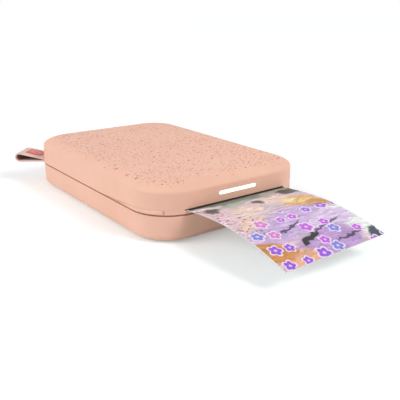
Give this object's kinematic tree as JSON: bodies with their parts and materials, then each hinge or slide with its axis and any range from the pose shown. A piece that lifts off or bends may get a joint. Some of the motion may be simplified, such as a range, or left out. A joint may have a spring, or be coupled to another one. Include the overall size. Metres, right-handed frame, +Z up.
{
  "type": "compact photo printer",
  "caption": "Palm-sized photo printer: rounded two-shell case with tilting top cover over a paper tray, front slot with a print half out, light bar, internal print engine, loop tab.",
  "frame": {"origin": "centre of the rest face, on the surface that the feet stand on, under the middle of the case", "axes": "+Z up, -Y out of the print slot, +X to the right seen from the slot's side"},
  "size_m": [0.0899, 0.1819, 0.0238],
  "materials": {
    "case_plastic": "soft satin moulded, fine coral speckle on the top",
    "frame_plastic": "satin moulded",
    "light_window": "milky lens, lit",
    "steel": "turned and zinc plated",
    "sheet_steel": "stamped sheet",
    "aluminium": "extruded",
    "webbing": "woven tape with a coral woven patch",
    "paper": "glossy instant photo paper",
    "print": null,
    "dark_plastic": "moulded",
    "spring_steel": "drawn wire",
    "rubber": "ground rubber",
    "foot_rubber": "moulded rubber",
    "gear_plastic": "acetal",
    "brass": "cut brass",
    "ceramic": "fired",
    "ribbon": "polyimide flat cable",
    "wire": "wire sleeving",
    "board": "solder mask",
    "shield": "tinned can",
    "cell": "foil pouch",
    "white_plastic": "moulded"
  },
  "bodies": {
    "case": {"base_shell": "case_plastic", "mid_frame": "frame_plastic", "slot_bezel": "frame_plastic", "charge_light": "light_window", "led_chips": "light_window", "rubber_feet": "foot_rubber", "case_screws": "steel", "strap_tab": "webbing", "strap_screw": "steel", "paper_stack": "paper", "paper_sensor": "dark_plastic", "engine_chassis": "sheet_steel", "engine_bridge": "sheet_steel", "engine_screws": "steel", "shaft_bushes": "gear_plastic", "head_pivot_pins": "steel", "head_springs": "spring_steel", "head_ribbon": "ribbon", "motor_can": "shield", "motor_leads": "wire", "reduction_axle": "steel", "idler_axle": "steel", "main_board": "board", "board_screws": "steel", "control_chip": "dark_plastic", "radio_module": "shield", "board_parts": "white_plastic", "usb_connector": "shield", "battery": "cell", "battery_pad": "dark_plastic", "battery_leads": "wire", "battery_plug": "white_plastic", "power_switch": "dark_plastic", "reset_switch": "dark_plastic", "led_board": "white_plastic"},
    "cover": {"top_cover": "case_plastic", "led_window": "light_window", "cover_hinge_pins": "steel", "pressure_springs": "spring_steel"},
    "pressure": {"pressure_plate": "dark_plastic"},
    "platen": {"platen_roller": "rubber", "platen_shaft": "steel", "platen_gear": "gear_plastic"},
    "pickup": {"pickup_roller": "rubber", "pickup_shaft": "steel", "pickup_gear": "gear_plastic"},
    "idler": {"idler_gear": "gear_plastic"},
    "reduction": {"reduction_gear": "gear_plastic"},
    "rotor": {"motor_shaft": "steel", "motor_pinion": "brass"},
    "head": {"print_head": "ceramic", "heat_sink": "aluminium", "head_bracket": "sheet_steel"},
    "print": {"print_sheet": "print"},
    "power": {"power_button": "case_plastic"},
    "reset": {"reset_button": "white_plastic"}
  },
  "joints": [
    {"name": "cover_tilt", "type": "hinge", "parent": "case", "child": "cover", "pos_m": [0, 0.0564, 0.0146], "axis": [-1, 0, 0], "range_deg": [0, 55]},
    {"name": "pressure_slide", "type": "slide", "parent": "cover", "child": "pressure", "axis": [0, 0, 1], "range_m": [0, 0.001], "stiffness_N_per_m": 150, "springref_m": -0.002, "deforming": ["pressure_springs"]},
    {"name": "head_lift", "type": "hinge", "parent": "case", "child": "head", "pos_m": [0, -0.043, 0.0164], "axis": [1, 0, 0], "range_deg": [0, 2.5], "stiffness_Nm_per_rad": 0.1, "springref_deg": -5.73, "deforming": ["head_springs"]},
    {"name": "platen_spin", "type": "hinge", "parent": "case", "child": "platen", "pos_m": [0, -0.032, 0.0098], "axis": [1, 0, 0], "continuous": true},
    {"name": "pickup_spin", "type": "hinge", "parent": "case", "child": "pickup", "pos_m": [0, -0.016, 0.0098], "axis": [1, 0, 0], "continuous": true},
    {"name": "idler_spin", "type": "hinge", "parent": "case", "child": "idler", "pos_m": [0, -0.024, 0.0098], "axis": [1, 0, 0], "continuous": true},
    {"name": "reduction_spin", "type": "hinge", "parent": "case", "child": "reduction", "pos_m": [0, -0.03859, 0.01338], "axis": [1, 0, 0], "continuous": true},
    {"name": "motor_spin", "type": "hinge", "parent": "case", "child": "rotor", "pos_m": [0, -0.045, 0.0078], "axis": [1, 0, 0], "continuous": true},
    {"name": "print_slide", "type": "slide", "parent": "case", "child": "print", "axis": [0, -1, 0], "range_m": [0, 0.015]},
    {"name": "power_press", "type": "slide", "parent": "case", "child": "power", "axis": [0, -1, 0], "range_m": [0, 0.0006], "stiffness_N_per_m": 1200, "springref_m": -0.0004},
    {"name": "reset_press", "type": "slide", "parent": "case", "child": "reset", "axis": [0, -1, 0], "range_m": [0, 0.0003], "stiffness_N_per_m": 1200, "springref_m": -0.0003}
  ],
  "couplings": [
    {"joint": "idler_spin", "follows": "platen_spin", "ratio": -1.6667},
    {"joint": "pickup_spin", "follows": "platen_spin", "ratio": 1},
    {"joint": "reduction_spin", "follows": "platen_spin", "ratio": -2},
    {"joint": "motor_spin", "follows": "platen_spin", "ratio": 4.8}
  ]
}
